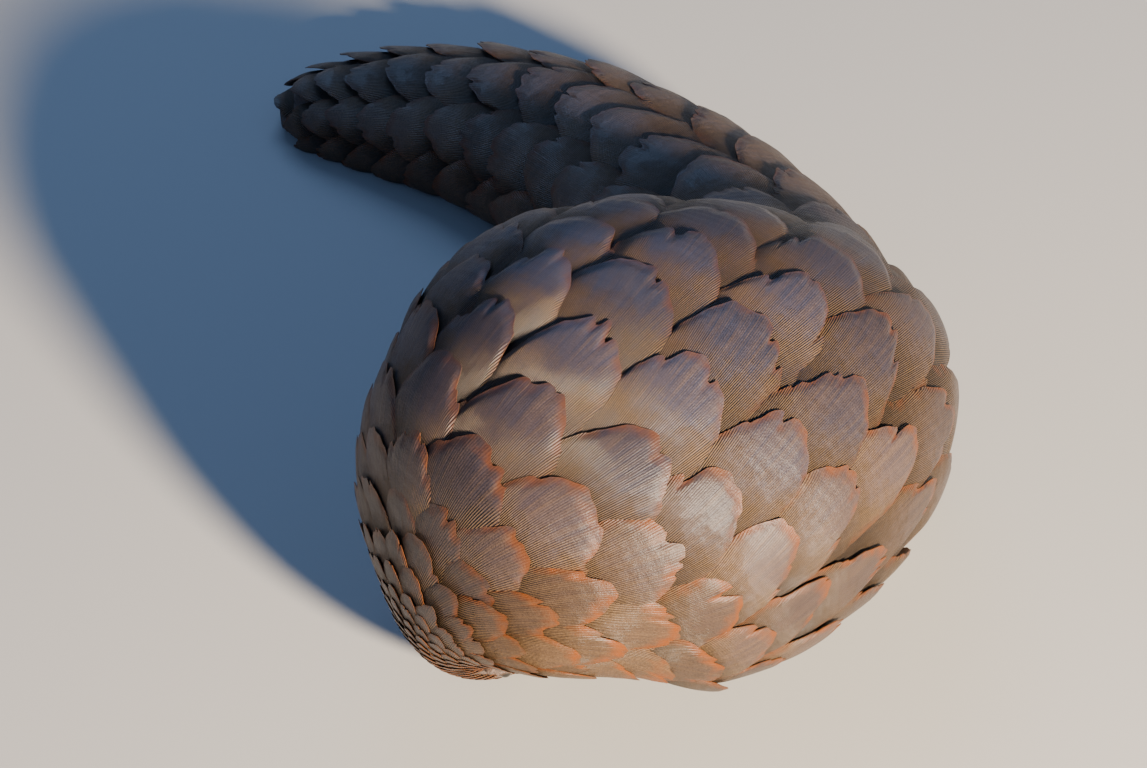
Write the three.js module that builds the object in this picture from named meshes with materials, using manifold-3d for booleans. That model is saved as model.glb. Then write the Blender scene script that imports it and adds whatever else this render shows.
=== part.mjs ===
// A ground pangolin at life size: hunched, head tucked under the chest, tail laid round behind it.
// Millimetres, +Z up, the floor at z = 0, the origin under the middle of the whole animal.
// The body is one bent form along a spine line. Every place on it is given by a distance back from
// the nose along that line and by an angle round it, 0 on the ridge of the back, positive on the left.

import * as THREE from "three";
import { mergeVertices } from "three/addons/utils/BufferGeometryUtils.js";
import Module from "manifold-3d";

const wasm = await Module();
wasm.setup();
const { Manifold, Mesh: SolidMesh } = wasm;

// Stations along the spine line, from the nose back
const nose = 0;
const brow = 42;
const occiput = 85;
const nape = 116;
const withers = 150;
const shoulder = 190;
const midBack = 235;
const loin = 300;
const hip = 345;
const rump = 385;
const tailRoot = 430;
const tailQuarter = 500;
const tailHalf = 600;
const tailThird = 690;
const tailTaper = 760;
const tailPoint = 816;

// The middle of the back, which the rest of the spine line is laid out from
const backPlace = [19.6, -141.5, 118];

// How steeply the line climbs and which way it heads, in degrees
const pitchAlong = [
  [nose, 166], [brow, 142], [occiput, 97], [nape, 56], [withers, 24], [shoulder, 6], [midBack, -9],
  [loin, -21], [hip, -23], [rump, -20], [tailRoot, -14], [tailQuarter, -7], [tailPoint, -6],
];
const headingAlong = [
  [nose, 32], [nape, 33], [midBack, 46], [loin, 62], [rump, 84], [tailRoot, 97], [tailQuarter, 116],
  [tailHalf, 132], [tailThird, 154], [tailPoint, 182],
];

// Half width, height above the line and depth below it
const halfWidthAlong = [
  [nose, 3.4], [3.5, 6.2], [18, 10.5], [brow, 18.5], [66, 26], [occiput, 41], [nape, 90.5], [withers, 107],
  [shoulder, 129], [midBack, 138], [loin, 132], [hip, 117], [rump, 99], [tailRoot, 84], [tailQuarter, 73],
  [tailHalf, 65], [tailThird, 54], [tailTaper, 41], [798, 27], [tailPoint, 12],
];
const heightAlong = [
  [nose, 3.2], [3.5, 5.8], [18, 9.5], [brow, 17], [66, 24], [occiput, 31], [nape, 43], [withers, 79],
  [shoulder, 96], [midBack, 103], [loin, 100], [hip, 88], [rump, 72], [tailRoot, 58], [tailQuarter, 46],
  [tailHalf, 38], [tailThird, 31], [tailTaper, 23], [798, 16], [tailPoint, 8],
];
const depthAlong = [
  [nose, 3.2], [3.5, 5.6], [18, 9], [brow, 14], [occiput, 33], [nape, 72], [withers, 88], [shoulder, 98],
  [midBack, 96], [loin, 84], [hip, 64], [rump, 54], [tailRoot, 45], [tailQuarter, 39], [tailHalf, 34],
  [tailThird, 28], [tailTaper, 21], [798, 14], [tailPoint, 6],
];
const roundAbove = 2.1;
const roundBelow = 3;

// The lengths that the body is parted into
const bodyLengths = [
  { name: "head", from: nose, to: occiput, step: 6.5, sides: 24, closer: 1.5 },
  { name: "neck", from: occiput, to: nape, step: 11, sides: 22 },
  { name: "torso", from: nape, to: rump, step: 27, sides: 28 },
  { name: "tail_base", from: rump, to: 486, step: 26, sides: 24 },
  { name: "tail_middle", from: 486, to: 594, step: 27, sides: 22 },
  { name: "tail_rear", from: 594, to: 706, step: 28, sides: 20 },
  { name: "tail_end", from: 706, to: tailPoint, step: 16, sides: 18, closer: -1.5 },
];
const gap = 0.32;

// Scutes: the pitch of their columns across the back, and how far round the body they go
const scutePitchAlong = [
  [nose, 17], [brow, 17], [occiput, 18], [nape, 26], [withers, 38], [shoulder, 50], [midBack, 57],
  [loin, 58], [rump, 57], [tailQuarter, 54], [tailHalf, 47], [tailThird, 39], [tailTaper, 30],
  [tailPoint, 17],
];
const scuteEdgeAlong = [
  [nose, 40], [brow, 50], [70, 54], [occiput, 84], [nape, 108], [withers, 116], [midBack, 118],
  [loin, 112], [hip, 104], [rump, 108], [tailRoot, 104], [tailQuarter, 96], [tailPoint, 92],
];
const firstScuteRing = 30;
const lastScuteRing = 797;
const mostColumns = 8;
const columnsNarrow = 0.035;
const ringPitchAlong = [[nose, 0.68], [nape, 0.72], [withers, 0.62], [loin, 0.58], [tailPoint, 0.56]];
const scuteLength = 1.18;
const scuteWidth = 1.06;
const scuteLift = 0.085;
const scuteRoot = 5;
const scuteVariety = { long: 0.06, wide: 0.05, turn: 4 };
const scuteCrowding = { share: 1.15, least: 0.5 };
// Cross lines of a scute: distance from its root and half width, both as shares of its size
const scuteRows = [[0, 0.4], [0.6, 1], [1, 0.36]];
// How evenly its top climbs, how deep its root dips, and how far along the spine it may reach
const scuteClimb = { even: 0.55, rootDip: 1 };
const longestReach = 60;
const pastTail = 8;
// A scute is folded where the body turns by more than this under half its width
const foldedTurn = 0.55;

// Room kept for the scutes over the body, and where it falls away past their edge
const coat = { least: 1, perPitch: 0.2, fadeFrom: 14, fadeTo: 36 };
// How far along it the scutes of the next length are kept clear of
const cutReach = 90;

// Legs: places are ahead, aside and up from a point on the floor beside their station
const foreleg = {
  station: 178,
  aside: 38,
  line: [[-82, 4, 84], [-88, 4, 56], [-79, 2, 31], [-62, -2, 17], [-45, -5, 12]],
  halfWidth: [28, 26, 20, 19, 16],
  halfHeight: [32, 28, 21, 18, 12.5],
  toes: [-13.5, -7.5, 0, 7.5, 13.5],
  toeSizes: [2.4, 4, 4.8, 4, 2.4],
  clawLengths: [9, 27, 36, 27, 9],
  clawCurl: 62,
};
const hindleg = {
  station: 338,
  aside: 80,
  line: [[-8, -8, 70], [4, -2, 46], [-8, 0, 26], [12, 0, 16], [36, 0, 12]],
  halfWidth: [36, 34, 28, 25, 20],
  halfHeight: [36, 34, 24, 17.5, 12.5],
  toes: [-15.5, -8, 0, 8, 15.5],
  toeSizes: [3.4, 4.2, 4.6, 4.2, 3.4],
  clawLengths: [9, 13, 15, 13, 9],
  clawCurl: 38,
};

const legForm = { steps: 7, sides: 11, round: 2.3 };
const toeForm = {
  spread: 1.1,
  apart: 0.9,
  reach: 6,
  fallBack: 0.55,
  rootBack: 9,
  pastRoot: 0.6,
  lift: 4.5,
  high: 1.15,
  flat: 0.95,
  rings: [[0, 1.5], [0.6, 1.42], [1, 1.12]],
  sides: 6,
};
// A toe is grown a little less than the gap, so that it still meets its claw face to face
const toeGrowth = 0.9;
const clawForm = { steps: 3, sides: 5, taper: 0.75, root: 0.98, point: 0.1, narrow: 0.82 };

// Face: places are a distance back from the nose and an angle round the head
const eye = { station: 43, angle: 66, radius: 4.6, sunk: 2.4 };
const lid = { radius: 4.3, thick: 1.7, long: 1.12, open: 0.74, sunk: 0.3 };
const ear = { station: 70, angle: 92, tall: 9.5, long: 5.2, out: 6, wall: 1.6, sunk: 0.5 };
const earCup = { ahead: 0.6, lift: 2.4, endWall: 1.3 };
const nostril = { station: 2.6, angle: 58, radius: 1.15, long: 1.4, deep: 2.2, lift: 0.3 };
const mouthLine = [[25, 112], [15, 117], [7, 128], [3.4, 152]];
const lip = { thick: 1.5, lift: -0.5 };
const mouth = { thick: 0.6, lift: 0.4, steps: 12, sides: 5, corner: 0.4 };

const floorWide = 2000;
const floorDeep = 200;

// Runs smoothly through its knots and never overshoots them
function profile(knots) {
  const x = knots.map((k) => k[0]);
  const y = knots.map((k) => k[1]);
  const last = x.length - 1;
  const slope = [];
  for (let i = 0; i < last; i++) slope.push((y[i + 1] - y[i]) / (x[i + 1] - x[i]));
  const tangent = x.map(() => 0);
  tangent[0] = slope[0];
  tangent[last] = slope[last - 1];
  for (let i = 1; i < last; i++) {
    if (slope[i - 1] * slope[i] <= 0) continue;
    const before = x[i] - x[i - 1];
    const after = x[i + 1] - x[i];
    const shares = (2 * after + before) / slope[i - 1] + (after + 2 * before) / slope[i];
    tangent[i] = (3 * (before + after)) / shares;
  }
  return (at) => {
    const v = Math.min(Math.max(at, x[0]), x[last]);
    let i = 0;
    while (i < last - 1 && v > x[i + 1]) i++;
    const run = x[i + 1] - x[i];
    const t = (v - x[i]) / run;
    return (
      y[i] * (1 + 2 * t) * (1 - t) ** 2 +
      tangent[i] * run * t * (1 - t) ** 2 +
      y[i + 1] * t * t * (3 - 2 * t) +
      tangent[i + 1] * run * t * t * (t - 1)
    );
  };
}

const rad = THREE.MathUtils.degToRad;
const pitch = profile(pitchAlong);
const heading = profile(headingAlong);
const halfWidth = profile(halfWidthAlong);
const height = profile(heightAlong);
const depth = profile(depthAlong);
const scutePitch = profile(scutePitchAlong);
const scuteEdge = profile(scuteEdgeAlong);
const ringPitch = profile(ringPitchAlong);

function spineDirection(s) {
  const up = rad(pitch(s));
  const round = rad(heading(s));
  return new THREE.Vector3(Math.cos(up) * Math.cos(round), Math.cos(up) * Math.sin(round), Math.sin(up));
}

function spineFrame(s) {
  const up = rad(pitch(s));
  const round = rad(heading(s));
  return {
    along: spineDirection(s),
    left: new THREE.Vector3(Math.sin(round), -Math.cos(round), 0),
    over: new THREE.Vector3(-Math.sin(up) * Math.cos(round), -Math.sin(up) * Math.sin(round), Math.cos(up)),
  };
}

// The spine line, added up in steps of 1 mm
const spineLine = [new THREE.Vector3()];
for (let s = 1; s <= tailPoint; s++) {
  spineLine.push(spineLine[s - 1].clone().add(spineDirection(s - 0.5)));
}
const spineShift = new THREE.Vector3(...backPlace).sub(spineLine[midBack]);
spineLine.forEach((p) => p.add(spineShift));

function spinePoint(s) {
  const i = Math.min(Math.max(Math.floor(s), 0), tailPoint - 1);
  return spineLine[i].clone().lerp(spineLine[i + 1], s - i);
}

function sectionRadius(wide, tall, power, angle) {
  const across = Math.abs(Math.sin(angle)) / wide;
  const upright = Math.abs(Math.cos(angle)) / tall;
  return (across ** power + upright ** power) ** (-1 / power);
}

function bodyRadius(s, angle) {
  const above = Math.cos(angle) >= 0;
  return sectionRadius(halfWidth(s), above ? height(s) : depth(s), above ? roundAbove : roundBelow, angle);
}

function bodyPoint(s, angle, lift = 0) {
  const frame = spineFrame(s);
  const r = bodyRadius(s, angle) + lift;
  return spinePoint(s)
    .addScaledVector(frame.left, r * Math.sin(angle))
    .addScaledVector(frame.over, r * Math.cos(angle));
}

// The angle at which the girth reaches a given length, measured round from the ridge of the back
function angleAtGirth(s, girth) {
  const step = rad(1.5);
  let run = 0;
  let angle = 0;
  while (angle < Math.PI) {
    const here = bodyRadius(s, angle + step / 2);
    const change = (bodyRadius(s, angle + step) - bodyRadius(s, angle)) / step;
    const piece = Math.hypot(here, change) * step;
    const left = Math.abs(girth) - run;
    if (piece > left) return Math.sign(girth) * (angle + (step * left) / piece);
    run += piece;
    angle += step;
  }
  return Math.sign(girth) * Math.PI;
}

// Solids, made from points and faces or from three.js geometry
function solidOf(points, faces) {
  const build = (list) =>
    new Manifold(
      new SolidMesh({
        numProp: 3,
        vertProperties: new Float32Array(points.flatMap((p) => [p.x, p.y, p.z])),
        triVerts: new Uint32Array(list.flat()),
      }),
    );
  const solid = build(faces);
  return solid.volume() > 0 ? solid : build(faces.map(([a, b, c]) => [a, c, b]));
}

function solidOfGeometry(geometry) {
  const bare = geometry.clone();
  bare.deleteAttribute("normal");
  bare.deleteAttribute("uv");
  const merged = mergeVertices(bare, 1e-4);
  return new Manifold(
    new SolidMesh({
      numProp: 3,
      vertProperties: merged.attributes.position.array,
      triVerts: new Uint32Array(merged.index.array),
    }),
  );
}

// A closed skin over a row of rings with as many points each
function loft(rings) {
  const sides = rings[0].length;
  const points = rings.flat();
  const faces = [];
  for (let i = 0; i + 1 < rings.length; i++) {
    for (let j = 0; j < sides; j++) {
      const a = i * sides + j;
      const b = i * sides + ((j + 1) % sides);
      faces.push([a, b, b + sides], [a, b + sides, a + sides]);
    }
  }
  for (const [ring, first] of [[rings[0], 0], [rings.at(-1), points.length - sides]]) {
    const middle = ring.reduce((sum, p) => sum.add(p), new THREE.Vector3()).divideScalar(sides);
    const hub = points.push(middle) - 1;
    for (let j = 0; j < sides; j++) {
      const edge = [first + j, first + ((j + 1) % sides)];
      faces.push(first ? [hub, edge[0], edge[1]] : [hub, edge[1], edge[0]]);
    }
  }
  return solidOf(points, faces);
}

function largest(solid) {
  const bodies = solid.decompose();
  return bodies.reduce((best, one) => (one.volume() > best.volume() ? one : best), bodies[0]);
}

// How far the scutes stand off the body, falling away past their edge
function coatDepth(s, angle) {
  const past = Math.abs(angle) - rad(scuteEdge(s));
  const full = coat.least + coat.perPitch * scutePitch(s);
  return full * (1 - THREE.MathUtils.smoothstep(past, rad(coat.fadeFrom), rad(coat.fadeTo)));
}

// One length of the body, its ends flat and held back by half the gap, or grown for a clearance cut,
// bare or with the room for its scutes.
// Its rings draw closer towards the nose or the tip of the tail.
function bodyCore(part, grow = 0, coated = false) {
  const count = Math.ceil((part.to - part.from) / part.step);
  const closer = part.closer ?? 1;
  const rings = [];
  for (let i = 0; i <= count; i++) {
    const t = closer > 0 ? (i / count) ** closer : 1 - (1 - i / count) ** -closer;
    const s = part.from + (part.to - part.from) * t;
    const inner = (i === 0 && part.from > nose) || (i === count && part.to < tailPoint);
    const held = inner ? gap / 2 - grow : -grow;
    const slide = i === 0 ? held : i === count ? -held : 0;
    const along = spineDirection(s);
    const ring = [];
    for (let j = 0; j < part.sides; j++) {
      const angle = 2 * Math.PI * (j / part.sides - (2 * j > part.sides ? 1 : 0));
      const lift = grow + (coated ? coatDepth(s, angle) : 0);
      ring.push(bodyPoint(s, angle, lift).addScaledVector(along, slide));
    }
    rings.push(ring);
  }
  return loft(rings);
}

const floorBox = new THREE.BoxGeometry(floorWide, floorWide, floorDeep).translate(0, 0, -floorDeep / 2);
const floorBlock = solidOfGeometry(floorBox);

// A repeatable random draw between -1 and 1
function seededDraw(seed) {
  let state = seed;
  return () => {
    state = (Math.imul(state, 1664525) + 1013904223) >>> 0;
    return state / 2 ** 31 - 1;
  };
}

// Where the scutes root: rings across the back, their columns half a step apart from ring to ring
function scutePlaces() {
  const draw = seededDraw(7);
  const places = [];
  let ring = 0;
  let s = firstScuteRing;
  while (s < lastScuteRing) {
    const pitchHere = scutePitch(s);
    const ridgeStretch = bodyPoint(s, 0).distanceTo(bodyPoint(s + 1, 0));
    for (let j = -mostColumns; j <= mostColumns; j++) {
      if ((j + ring) % 2 !== 0) continue;
      const girthAt = (at) => scutePitch(at) * (j - columnsNarrow * j * Math.abs(j));
      const angle = angleAtGirth(s, girthAt(s));
      if (Math.abs(angle) > rad(scuteEdge(s))) continue;
      const narrow = 1 - 2 * columnsNarrow * Math.abs(j);
      const stretch = bodyPoint(s, angle).distanceTo(bodyPoint(s + 1, angle)) / ridgeStretch;
      const crowded = THREE.MathUtils.clamp(stretch * scuteCrowding.share, scuteCrowding.least, 1);
      const shorter = Math.min(crowded, (1 + narrow) / 2);
      places.push({
        s,
        angle,
        lean: angleAtGirth(s + 1, girthAt(s + 1)) - angle,
        long: pitchHere * scuteLength * shorter * (1 + scuteVariety.long * draw()),
        wide: pitchHere * scuteWidth * narrow * (1 + scuteVariety.wide * draw()),
        yaw: rad(scuteVariety.turn) * draw(),
      });
    }
    s += (ringPitch(s) * pitchHere) / ridgeStretch;
    ring += 1;
  }
  return places;
}

function scuteHeight(u, lift) {
  const { even, rootDip } = scuteClimb;
  return lift * (even * u + (1 - even) * (1 - (1 - u) ** 2)) - rootDip * (1 - u) ** 4;
}

// A raised plate: its top climbs from the root to the tip, its foot is sunk in the body.
// It is flat across, or folded along its middle where the body turns sharply under it.
function scuteSolid(place, grow = 0) {
  const { s, angle, lean, long, wide, yaw } = place;
  const stretch = bodyPoint(s, angle).distanceTo(bodyPoint(s + 1, angle));
  const turn = bodyPoint(s, angle - rad(0.5)).distanceTo(bodyPoint(s, angle + rad(0.5))) / rad(1);
  const lift = long * scuteLift + 1;
  const onBody = (u, v, high) => {
    const x = u * Math.cos(yaw) - v * Math.sin(yaw);
    const y = u * Math.sin(yaw) + v * Math.cos(yaw);
    const back = Math.min(x / stretch, longestReach);
    return bodyPoint(Math.min(s + back, tailPoint + pastTail), angle + y / turn + lean * back, high);
  };
  const folded = wide / 2 / turn > foldedTurn;
  const across = onBody(0.5 * long, 5, 0).sub(onBody(0.5 * long, -5, 0)).normalize();
  const top = [];
  const foot = [];
  const along = onBody(long, 0, 0).sub(onBody(0, 0, 0)).normalize();
  scuteRows.forEach(([u, v], row) => {
    const slide = [-grow, 0, grow][row];
    const half = (v * wide) / 2 + grow;
    const at = (offset, high) => onBody(u * long, offset, high).addScaledVector(along, slide);
    const high = scuteHeight(u, lift) + grow;
    const middle = at(0, high);
    const flat = [-half, half].map((offset) => middle.clone().addScaledVector(across, offset));
    top.push(folded ? [at(-half, high), middle, at(half, high)] : flat);
    foot.push([at(-half, -scuteRoot - grow), at(half, -scuteRoot - grow)]);
  });
  return plate(top, foot);
}

// Closes a plate whose top and foot are given as cross lines from the root to the tip
function plate(top, foot) {
  const points = [...top.flat(), ...foot.flat()];
  const wide = top[0].length;
  const rows = top.length;
  const under = wide * rows;
  const upper = (row, i) => row * wide + i;
  const lower = (row, i) => under + row * 2 + i;
  const faces = [];
  for (let row = 0; row + 1 < rows; row++) {
    for (let i = 0; i + 1 < wide; i++) {
      faces.push([upper(row, i), upper(row, i + 1), upper(row + 1, i + 1)]);
      faces.push([upper(row, i), upper(row + 1, i + 1), upper(row + 1, i)]);
    }
    faces.push([lower(row, 1), lower(row, 0), lower(row + 1, 0)]);
    faces.push([lower(row, 1), lower(row + 1, 0), lower(row + 1, 1)]);
    faces.push([upper(row, 0), upper(row + 1, 0), lower(row + 1, 0)]);
    faces.push([upper(row, 0), lower(row + 1, 0), lower(row, 0)]);
    const edge = wide - 1;
    faces.push([upper(row + 1, edge), upper(row, edge), lower(row, 1)]);
    faces.push([upper(row + 1, edge), lower(row, 1), lower(row + 1, 1)]);
  }
  for (const [row, turned] of [[0, false], [rows - 1, true]]) {
    const rim = [];
    for (let i = 0; i < wide; i++) rim.push(upper(row, i));
    rim.push(lower(row, 1), lower(row, 0));
    for (let i = 1; i + 1 < rim.length; i++) {
      faces.push(turned ? [rim[0], rim[i], rim[i + 1]] : [rim[0], rim[i + 1], rim[i]]);
    }
  }
  return solidOf(points, faces);
}

const colours = {
  scute: 0x6d5f54,
  skin: 0x8c7667,
  claw: 0xb79b78,
  eye: 0x120d0b,
};
const roughnesses = { scute: 0.5, skin: 0.8, claw: 0.45, eye: 0.15 };

const pangolin = new THREE.Group();

function addNode(name, solid, finish) {
  const { vertProperties, triVerts, numProp } = solid.getMesh();
  const positions = new Float32Array((vertProperties.length / numProp) * 3);
  for (let i = 0; i < positions.length / 3; i++) {
    positions.set(vertProperties.subarray(i * numProp, i * numProp + 3), i * 3);
  }
  const geometry = new THREE.BufferGeometry();
  geometry.setAttribute("position", new THREE.BufferAttribute(positions, 3));
  geometry.setIndex(new THREE.BufferAttribute(new Uint32Array(triVerts), 1));
  geometry.computeVertexNormals();
  const material = new THREE.MeshStandardMaterial({
    color: colours[finish],
    roughness: roughnesses[finish],
    metalness: 0,
  });
  const mesh = new THREE.Mesh(geometry, material);
  mesh.name = name;
  pangolin.add(mesh);
}

const places = scutePlaces();

// Everything of one length that a neighbour has to keep clear of
function grownLength(part) {
  const near = places.filter((p) => p.s >= part.from && p.s < Math.min(part.to, part.from + cutReach));
  return Manifold.union([bodyCore(part, gap), ...near.map((p) => scuteSolid(p, gap))]);
}

function bodyNode(part, next) {
  const own = places.filter((p) => p.s >= part.from && p.s < part.to);
  let solid = Manifold.union([bodyCore(part), ...own.map((p) => scuteSolid(p))]);
  if (next) solid = solid.subtract(grownLength(next));
  return solid;
}

// A leg as a bent tapering form from inside the body down to a flat sole
function legAxes(leg, side) {
  const frame = spineFrame(leg.station);
  const foot = spinePoint(leg.station).addScaledVector(frame.left, side * leg.aside);
  foot.z = 0;
  return {
    foot,
    ahead: new THREE.Vector3(-frame.along.x, -frame.along.y, 0).normalize(),
    aside: frame.left.clone().multiplyScalar(side),
  };
}

function legPoint(axes, ahead, aside, up) {
  return axes.foot
    .clone()
    .addScaledVector(axes.ahead, ahead)
    .addScaledVector(axes.aside, aside)
    .setZ(up);
}

function legCore(leg, axes, grow = 0) {
  const line = new THREE.CatmullRomCurve3(leg.line.map(([a, b, c]) => legPoint(axes, a, b, c)));
  const last = leg.line.length - 1;
  const wide = profile(leg.halfWidth.map((v, i) => [i / last, v]));
  const tall = profile(leg.halfHeight.map((v, i) => [i / last, v]));
  const rings = [];
  for (let i = 0; i <= legForm.steps; i++) {
    const t = i / legForm.steps;
    const centre = line.getPoint(t);
    const along = line.getTangent(t);
    const over = new THREE.Vector3().crossVectors(axes.aside, along).normalize();
    const ring = [];
    for (let j = 0; j < legForm.sides; j++) {
      const angle = (2 * Math.PI * j) / legForm.sides;
      const r = sectionRadius(wide(t), tall(t), legForm.round, angle) + grow;
      ring.push(
        centre
          .clone()
          .addScaledVector(axes.aside, r * Math.sin(angle))
          .addScaledVector(over, r * Math.cos(angle)),
      );
    }
    rings.push(ring);
  }
  return loft(rings);
}

// Round section of a toe or claw, set square to its line
function crossRing(centre, along, across, wide, tall, sides) {
  const over = new THREE.Vector3().crossVectors(across, along).normalize();
  const ring = [];
  for (let j = 0; j < sides; j++) {
    const angle = (2 * Math.PI * j) / sides;
    ring.push(
      centre
        .clone()
        .addScaledVector(across, wide * Math.sin(angle))
        .addScaledVector(over, tall * Math.cos(angle)),
    );
  }
  return ring;
}

function toePlaces(leg, axes) {
  const tip = leg.line.at(-1);
  return leg.toes.map((offset, i) => {
    const size = leg.toeSizes[i];
    const spread = rad(offset * toeForm.spread);
    const along = new THREE.Vector3()
      .addScaledVector(axes.ahead, Math.cos(spread))
      .addScaledVector(axes.aside, Math.sin(spread));
    const reach = toeForm.reach - Math.abs(offset) * toeForm.fallBack;
    const ahead = tip[0] + reach - toeForm.rootBack;
    const root = legPoint(axes, ahead, tip[1] + offset * toeForm.apart, size * toeForm.high + toeForm.lift);
    return {
      size,
      along,
      across: new THREE.Vector3(-along.y, along.x, 0),
      root,
      end: root.clone().addScaledVector(along, toeForm.rootBack + size * toeForm.pastRoot),
    };
  });
}

function toeSolid(toe, grow = 0) {
  const far = toe.end.clone().addScaledVector(toe.along, grow);
  const rings = toeForm.rings.map(([t, thick]) => {
    const centre = toe.root.clone().lerp(far, t);
    const wide = toe.size * thick + grow;
    const tall = toe.size * thick * toeForm.flat + grow;
    return crossRing(centre, toe.along, toe.across, wide, tall, toeForm.sides);
  });
  return loft(rings);
}

// A claw bends down as it runs out, from the flat end of its toe
function clawSolid(toe, long, curl) {
  const { steps, sides, taper, root, point, narrow } = clawForm;
  const rings = [];
  const centre = toe.end.clone().addScaledVector(toe.along, gap);
  let last = 0;
  for (let i = 0; i <= steps; i++) {
    const t = i / steps;
    const drop = rad(curl) * t;
    const middle = rad(curl) * ((t + last) / 2);
    centre
      .addScaledVector(toe.along, (t - last) * long * Math.cos(middle))
      .add(new THREE.Vector3(0, 0, -(t - last) * long * Math.sin(middle)));
    const along = toe.along.clone().multiplyScalar(Math.cos(drop)).setZ(-Math.sin(drop));
    const size = toe.size * ((1 - t) ** taper * root + point);
    rings.push(crossRing(centre, along, toe.across, size * narrow, size, sides));
    last = t;
  }
  return loft(rings);
}

// Axes at a place on the body: out of the skin, back along it, and round it
function placeAxes(station, angle) {
  const out = bodyPoint(station, angle, 1).sub(bodyPoint(station, angle, 0)).normalize();
  const back = bodyPoint(station + 1, angle).sub(bodyPoint(station - 1, angle)).normalize();
  const round = new THREE.Vector3().crossVectors(out, back).normalize();
  return { out, back: new THREE.Vector3().crossVectors(round, out), round };
}

// Sets a geometry made round its own centre on the body, its x back, its y round and its z out
function setOnBody(geometry, station, angle, lift, size = [1, 1, 1]) {
  const axes = placeAxes(station, angle);
  const placed = geometry.clone().scale(...size);
  placed.applyMatrix4(new THREE.Matrix4().makeBasis(axes.back, axes.round, axes.out));
  const at = bodyPoint(station, angle, lift);
  placed.translate(at.x, at.y, at.z);
  return solidOfGeometry(placed);
}

function eyeBall(side, grow = 0) {
  const ball = new THREE.IcosahedronGeometry(eye.radius + grow, 1);
  return setOnBody(ball, eye.station, side * rad(eye.angle), -eye.sunk);
}

function lids(side) {
  const ring = new THREE.TorusGeometry(lid.radius, lid.thick, 5, 12);
  return setOnBody(ring, eye.station, side * rad(eye.angle), -lid.sunk, [lid.long, lid.open, 1]);
}

// The ear is a low cup, its wall thickest behind
function earSolid(side) {
  const ball = new THREE.SphereGeometry(1, 10, 7);
  const angle = side * rad(ear.angle);
  const outer = setOnBody(ball, ear.station, angle, -ear.sunk, [ear.long, ear.tall, ear.out]);
  const hollow = [ear.long - ear.wall, ear.tall - ear.wall * earCup.endWall, ear.out];
  return outer.subtract(setOnBody(ball, ear.station - earCup.ahead, angle, earCup.lift, hollow));
}

// A thin round line laid along the mouth from one corner to the other
function mouthTube({ thick, lift }) {
  const half = mouthLine.map(([station, angle]) => bodyPoint(station, rad(angle), lift));
  const other = mouthLine.map(([station, angle]) => bodyPoint(station, -rad(angle), lift)).reverse();
  const line = new THREE.CatmullRomCurve3([...half, ...other]);
  const { steps, sides, corner } = mouth;
  const rings = [];
  for (let i = 0; i <= steps; i++) {
    const along = line.getTangent(i / steps);
    const across = new THREE.Vector3().crossVectors(along, spineFrame(nose).over).normalize();
    const size = thick * (i === 0 || i === steps ? corner : 1);
    rings.push(crossRing(line.getPoint(i / steps), along, across, size, size, sides));
  }
  return loft(rings);
}

function faceForms(head) {
  const nostrilBall = new THREE.IcosahedronGeometry(1, 1);
  let face = head.add(mouthTube(lip));
  for (const side of [1, -1]) face = face.add(lids(side));
  face = face.subtract(mouthTube(mouth));
  for (const side of [1, -1]) {
    const pit = [nostril.radius, nostril.radius * nostril.long, nostril.deep];
    const at = [nostril.station, side * rad(nostril.angle), nostril.lift];
    face = face.subtract(eyeBall(side, gap));
    face = face.subtract(setOnBody(nostrilBall, ...at, pit));
  }
  return face;
}

const [headPart, , torsoPart, tailBasePart] = bodyLengths;
bodyLengths.forEach((part, i) => {
  let solid = bodyNode(part, bodyLengths[i + 1]);
  if (part === headPart) solid = faceForms(solid);
  addNode(part.name, largest(solid.subtract(floorBlock)), "scute");
});

const headRoom = bodyCore(headPart, gap);
for (const [sideName, side] of [["left", 1], ["right", -1]]) {
  addNode(`eye_${sideName}`, eyeBall(side), "eye");
  addNode(`ear_${sideName}`, largest(earSolid(side).subtract(headRoom)), "skin");
}

const bodyRoom = Manifold.union([bodyCore(torsoPart, gap, true), bodyCore(tailBasePart, gap, true)]);
for (const [limb, leg] of [["foreleg", foreleg], ["hindleg", hindleg]]) {
  for (const [sideName, side] of [["left", 1], ["right", -1]]) {
    const axes = legAxes(leg, side);
    const toes = toePlaces(leg, axes);
    const foot = Manifold.union([legCore(leg, axes), ...toes.map((toe) => toeSolid(toe))]);
    addNode(`${limb}_${sideName}`, largest(foot.subtract(bodyRoom).subtract(floorBlock)), "skin");
    const grownToes = toes.map((toe) => toeSolid(toe, gap * toeGrowth));
    const footRoom = Manifold.union([legCore(leg, axes, gap), ...grownToes]);
    toes.forEach((toe, i) => {
      const claw = clawSolid(toe, leg.clawLengths[i], leg.clawCurl).subtract(footRoom).subtract(floorBlock);
      addNode(`${limb}_${sideName}_claw_${i + 1}`, largest(claw), "claw");
    });
  }
}

export default pangolin;
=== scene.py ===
import math

import bmesh
import bpy
import numpy as np
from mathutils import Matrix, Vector
from mathutils.bvhtree import BVHTree


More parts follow.
